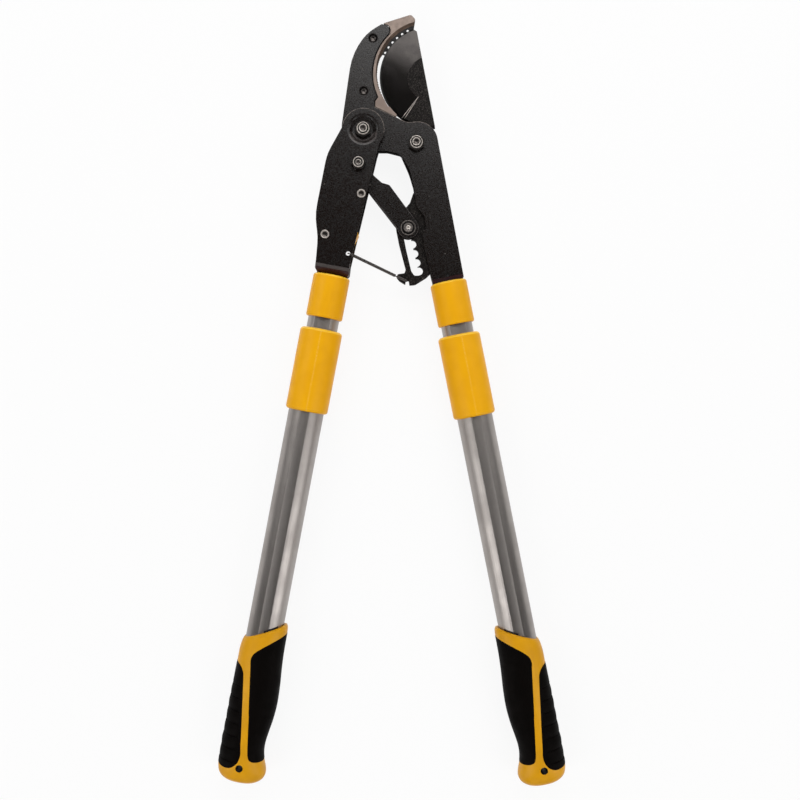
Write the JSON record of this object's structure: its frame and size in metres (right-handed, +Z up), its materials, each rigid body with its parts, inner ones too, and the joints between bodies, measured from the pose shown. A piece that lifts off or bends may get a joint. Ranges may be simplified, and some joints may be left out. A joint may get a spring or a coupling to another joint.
{
  "type": "telescoping loppers",
  "caption": "Long-handled bypass loppers with a toothed hook, ratchet-assisted curved blade, return spring, telescoping fluted tubes, twist-lock collars and two-part grips.",
  "frame": {"origin": "middle of the outline seen from above, on the floor that the tool lies on", "axes": "+Y runs from the grips to the jaws, +Z is up, away from the floor, through the head's plates"},
  "size_m": [0.3116, 0.6894, 0.0386],
  "materials": {
    "black_paint": "satin black paint with a fine grain",
    "taupe_steel": "satin warm grey steel",
    "blade_steel": "dark ground steel",
    "dark_zinc": "gunmetal plated steel",
    "zinc": "plated steel",
    "spring_steel": "bright spring wire",
    "amber_plastic": "satin amber-yellow plastic",
    "mustard_plastic": "satin mustard-yellow plastic",
    "black_rubber": "soft black rubber with a fine grain",
    "black_plastic": "black moulded plastic",
    "alloy_tube": "satin drawn aluminium"
  },
  "bodies": {
    "right_handle": {"hook_plate": "black_paint", "rear_leg_plate": "black_paint", "hook_insert": "taupe_steel", "hook_screws": "dark_zinc", "leg_pin": "dark_zinc", "pivot_bolt": "dark_zinc", "blade_bolt": "dark_zinc", "lock_nuts": "dark_zinc", "pivot_spacer": "zinc", "right_plug": "amber_plastic", "right_upper_collar": "amber_plastic", "right_inner_tube": "alloy_tube", "right_guide": "black_plastic"},
    "left_handle": {"left_front_plate": "black_paint", "left_rear_plate": "black_paint", "plate_rivets": "black_paint", "link_bolt": "dark_zinc", "link_nut": "dark_zinc", "link_washers": "zinc", "left_plug": "amber_plastic", "left_upper_collar": "amber_plastic", "left_inner_tube": "alloy_tube", "left_guide": "black_plastic"},
    "blade": {"blade": "blade_steel"},
    "link": {"link_front_plate": "black_paint", "link_rear_plate": "black_paint", "link_sleeve": "zinc", "ratchet_pin": "dark_zinc", "pin_washers": "zinc"},
    "spring": {"return_spring": "spring_steel"},
    "spring_end": {"spring_hook": "spring_steel"},
    "left_outer": {"left_outer_tube": "alloy_tube", "left_collet": "black_plastic", "left_grip_core": "mustard_plastic", "left_palm_pad": "black_rubber", "left_finger_pad": "black_rubber"},
    "left_lock": {"left_lock_collar": "amber_plastic"},
    "right_outer": {"right_outer_tube": "alloy_tube", "right_collet": "black_plastic", "right_grip_core": "mustard_plastic", "right_palm_pad": "black_rubber", "right_finger_pad": "black_rubber"},
    "right_lock": {"right_lock_collar": "amber_plastic"}
  },
  "joints": [
    {"name": "handle_open", "type": "hinge", "parent": "right_handle", "child": "left_handle", "pos_m": [-0.02537, 0.24118, 0.0193], "axis": [0, 0, -1], "range_deg": [-6, 50]},
    {"name": "blade_open", "type": "hinge", "parent": "right_handle", "child": "blade", "pos_m": [0.02203, 0.22998, 0.0193], "axis": [0, 0, -1], "range_deg": [-3, 23.5]},
    {"name": "link_swing", "type": "hinge", "parent": "left_handle", "child": "link", "pos_m": [-0.02947, 0.21088, 0.0193], "axis": [0, 0, 1], "range_deg": [-5.5, 44]},
    {"name": "spring_swing", "type": "hinge", "parent": "left_handle", "child": "spring", "pos_m": [-0.03887, 0.13078, 0.0303], "axis": [0, 0, 1], "range_deg": [-5.5, 42]},
    {"name": "spring_stretch", "type": "slide", "parent": "spring", "child": "spring_end", "axis": [0.91, -0.4147, 0], "range_m": [-0.006, 0.0485], "deforming": ["return_spring"]},
    {"name": "left_extend", "type": "slide", "parent": "left_handle", "child": "left_outer", "axis": [-0.1857, -0.9826, 0], "range_m": [0, 0.3]},
    {"name": "right_extend", "type": "slide", "parent": "right_handle", "child": "right_outer", "axis": [0.1942, -0.981, 0], "range_m": [0, 0.3]},
    {"name": "left_lock_twist", "type": "hinge", "parent": "left_outer", "child": "left_lock", "pos_m": [-0.06984, 0.02757, 0.0193], "axis": [-0.1857, -0.9826, 0], "range_deg": [0, 90]},
    {"name": "right_lock_twist", "type": "hinge", "parent": "right_outer", "child": "right_lock", "pos_m": [0.06695, 0.02398, 0.0193], "axis": [0.1942, -0.981, 0], "range_deg": [0, 90]}
  ],
  "couplings": [
    {"joint": "blade_open", "follows": "handle_open", "ratio": 0.46},
    {"joint": "link_swing", "follows": "handle_open", "ratio": 0.875},
    {"joint": "spring_swing", "follows": "handle_open", "ratio": 0.835},
    {"joint": "spring_stretch", "follows": "handle_open", "m_per_rad": 0.055}
  ]
}
